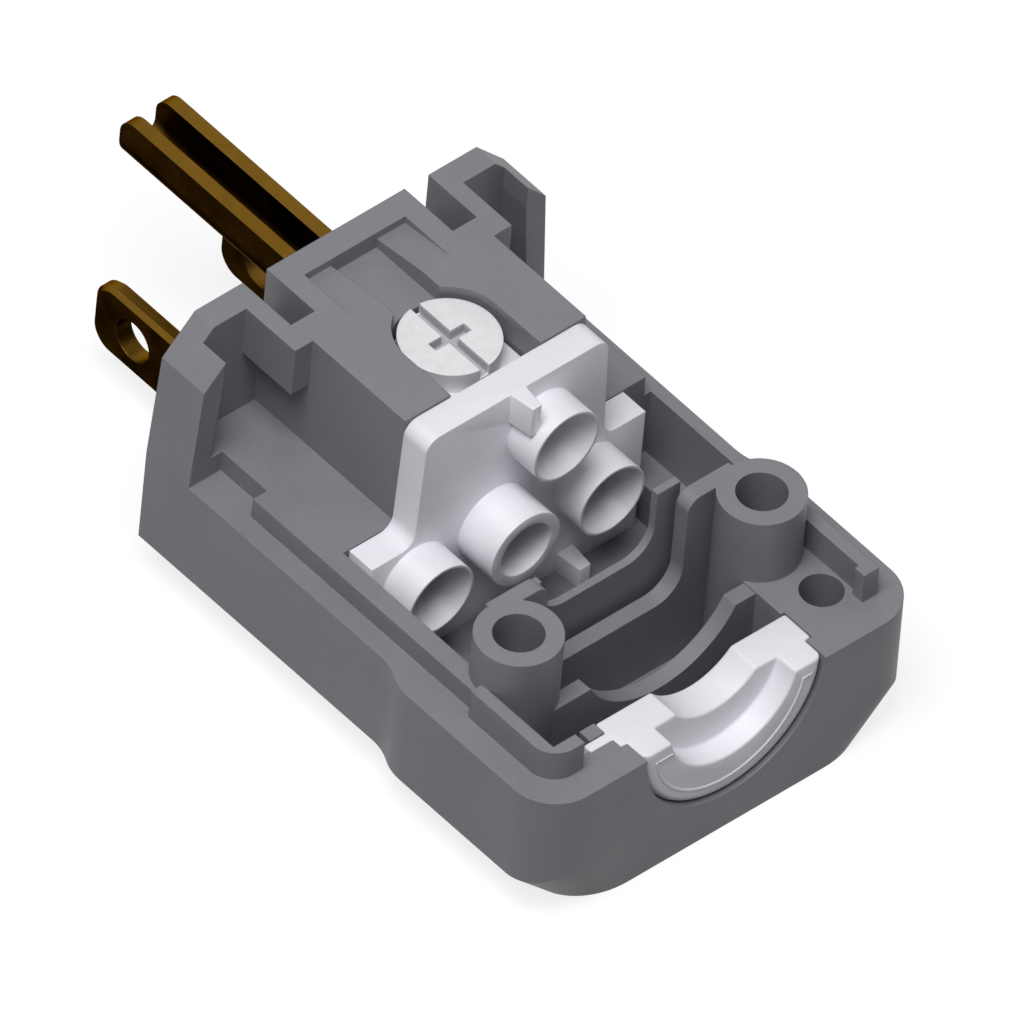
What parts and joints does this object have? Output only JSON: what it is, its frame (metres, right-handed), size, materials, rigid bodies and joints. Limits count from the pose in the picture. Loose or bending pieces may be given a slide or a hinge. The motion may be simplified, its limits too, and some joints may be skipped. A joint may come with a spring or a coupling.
{
  "type": "rewireable power plug",
  "caption": "Rewireable mains plug with its cover half removed: moulded casing, flat blades, earth pin, screw terminals, wire-guide plate and cord saddle.",
  "frame": {"origin": "middle of the bounding box's base, on the casing's underside", "axes": "+Y out along the blades, +Z from the underside towards the cover side, X across the plug"},
  "size_m": [0.0378, 0.069, 0.0255],
  "materials": {
    "casing_plastic": "satin",
    "white_plastic": "semi-gloss",
    "contact_brass": "rolled",
    "plated_steel": "zinc-plated"
  },
  "bodies": {
    "casing": {"housing": "casing_plastic", "terminal_cover": "white_plastic", "cord_saddle": "white_plastic", "ground_pin": "contact_brass", "line_blade": "contact_brass", "neutral_blade": "contact_brass"},
    "ground_plate": {"ground_clamp": "plated_steel"},
    "ground_bolt": {"ground_screw": "plated_steel"},
    "line_plate": {"line_clamp": "plated_steel"},
    "line_bolt": {"line_screw": "plated_steel"},
    "neutral_plate": {"neutral_clamp": "plated_steel"},
    "neutral_bolt": {"neutral_screw": "plated_steel"}
  },
  "joints": [
    {"name": "ground_clamp_slide", "type": "slide", "parent": "casing", "child": "ground_plate", "axis": [0, 0, 1], "range_m": [-0.0022, 0]},
    {"name": "ground_screw_turn", "type": "hinge", "parent": "ground_plate", "child": "ground_bolt", "pos_m": [0, -0.00023, 0.0228], "axis": [0, 0, 1], "range_deg": [-997.5, 0]},
    {"name": "line_clamp_slide", "type": "slide", "parent": "casing", "child": "line_plate", "axis": [0, 0, 1], "range_m": [0, 0.0016]},
    {"name": "line_screw_turn", "type": "hinge", "parent": "line_plate", "child": "line_bolt", "pos_m": [-0.00605, -0.00023, 0.0077], "axis": [0, 0, 1], "range_deg": [0, 725.5]},
    {"name": "neutral_clamp_slide", "type": "slide", "parent": "casing", "child": "neutral_plate", "axis": [0, 0, 1], "range_m": [0, 0.0016]},
    {"name": "neutral_screw_turn", "type": "hinge", "parent": "neutral_plate", "child": "neutral_bolt", "pos_m": [0.0048, -0.00023, 0.0077], "axis": [0, 0, 1], "range_deg": [0, 725.5]}
  ],
  "couplings": [
    {"joint": "ground_screw_turn", "follows": "ground_clamp_slide", "rad_per_m": 7913.3},
    {"joint": "line_screw_turn", "follows": "line_clamp_slide", "rad_per_m": 7913.3},
    {"joint": "neutral_screw_turn", "follows": "neutral_clamp_slide", "rad_per_m": 7913.3}
  ]
}
